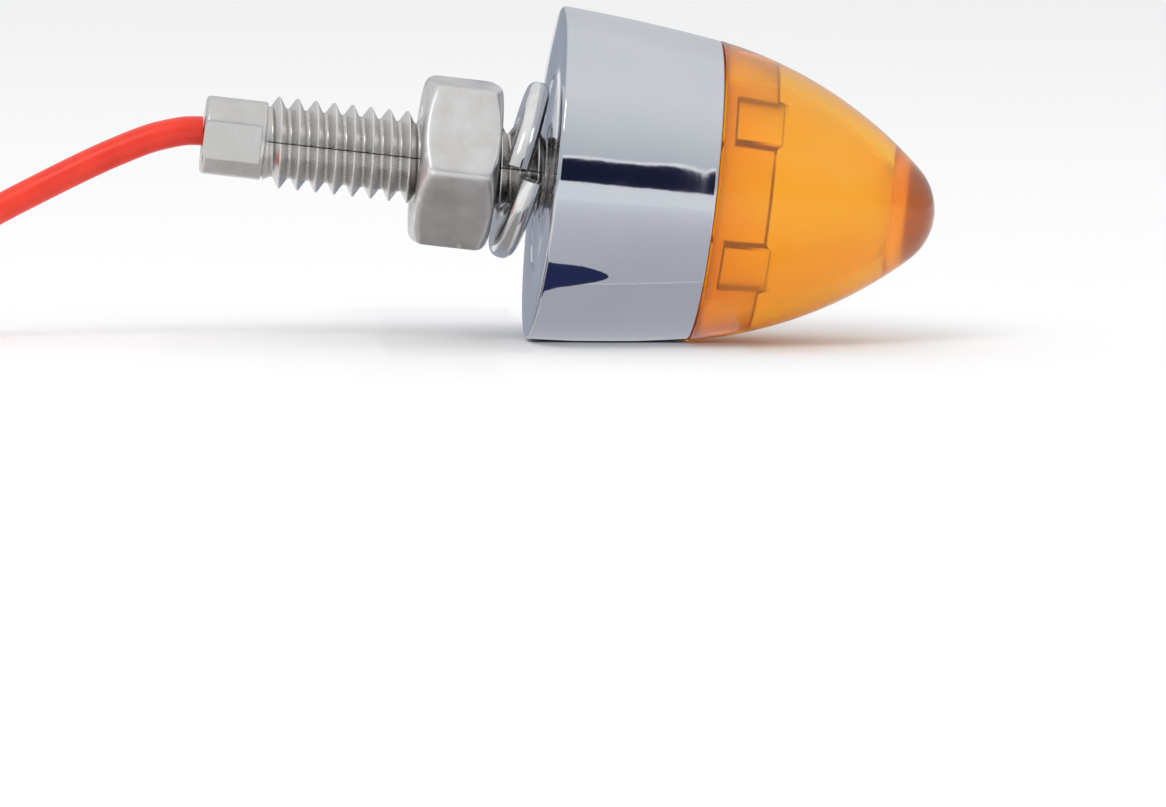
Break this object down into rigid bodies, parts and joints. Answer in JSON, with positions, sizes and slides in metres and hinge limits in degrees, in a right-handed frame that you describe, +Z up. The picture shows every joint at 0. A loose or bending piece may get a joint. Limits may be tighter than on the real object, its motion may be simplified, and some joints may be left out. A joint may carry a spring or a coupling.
{
  "type": "turn signal indicator",
  "caption": "Small bullet-shaped turn signal with a tapered chrome housing, an amber lens and a hollow threaded mounting stud with nut, lock washer and single lead.",
  "frame": {"origin": "on the surface that the lamp lies on, under the middle of the lamp's box without its free lead", "axes": "+Z up from that surface; +X from the stud towards the lens, with the stud's own axis leaning 6.17 degrees lens-down because the lamp lies on its tapered flank; +Y to the left of +X"},
  "size_m": [0.1002, 0.033, 0.0232],
  "materials": {
    "chrome": "mirror-polished chrome plate",
    "nickel_steel": "satin nickel plate over machined steel",
    "bright_washer": "bright zinc plate",
    "amber_lens": "clear amber moulded polycarbonate, glossy",
    "seal_rubber": "matt black nitrile",
    "white_plastic": "white moulded plastic",
    "board_laminate": "glass-epoxy board with solder mask",
    "led_plastic": "ceramic-filled white package",
    "led_phosphor": "clear resin over the chip",
    "component_body": "dark moulded component body",
    "insulator": "pressboard disc",
    "tinned_wire": "tinned wire and solder",
    "red_insulation": "soft red PVC insulation",
    "bare_copper": "bare stranded copper",
    "sealant": "cured grey silicone",
    "tie_plastic": "black nylon"
  },
  "bodies": {
    "lamp": {"housing": "chrome", "stud": "nickel_steel", "reflector": "white_plastic", "circuit_board": "board_laminate", "led_bodies": "led_plastic", "led_domes": "led_phosphor", "resistors": "component_body", "diode": "component_body", "insulator_disc": "insulator", "ground_wire": "tinned_wire", "solder_joints": "tinned_wire", "inner_lead": "red_insulation", "lead_core": "bare_copper", "bore_sealant": "sealant", "lead_wire": "red_insulation", "lead_coil": "red_insulation", "lead_tail": "red_insulation", "lead_strands": "bare_copper", "coil_tie": "tie_plastic"},
    "washer": {"lock_washer": "bright_washer"},
    "nut": {"mounting_nut": "nickel_steel"},
    "lens_unit": {"lens": "amber_lens", "lens_seal": "seal_rubber"}
  },
  "joints": [
    {"name": "nut_travel", "type": "slide", "parent": "lamp", "child": "washer", "axis": [-0.9942, 0, 0.1075], "range_m": [-0.00026, 0.00953]},
    {"name": "nut_turn", "type": "hinge", "parent": "washer", "child": "nut", "pos_m": [-0.00778, 0, 0.01229], "axis": [-0.9942, 0, 0.1075], "range_deg": [-72, 2700]},
    {"name": "lens_pull", "type": "slide", "parent": "lamp", "child": "lens_unit", "axis": [0.9942, 0, -0.1075], "range_m": [0, 0.008]}
  ],
  "couplings": [
    {"joint": "nut_travel", "follows": "nut_turn", "m_per_rad": 0.00020213}
  ]
}
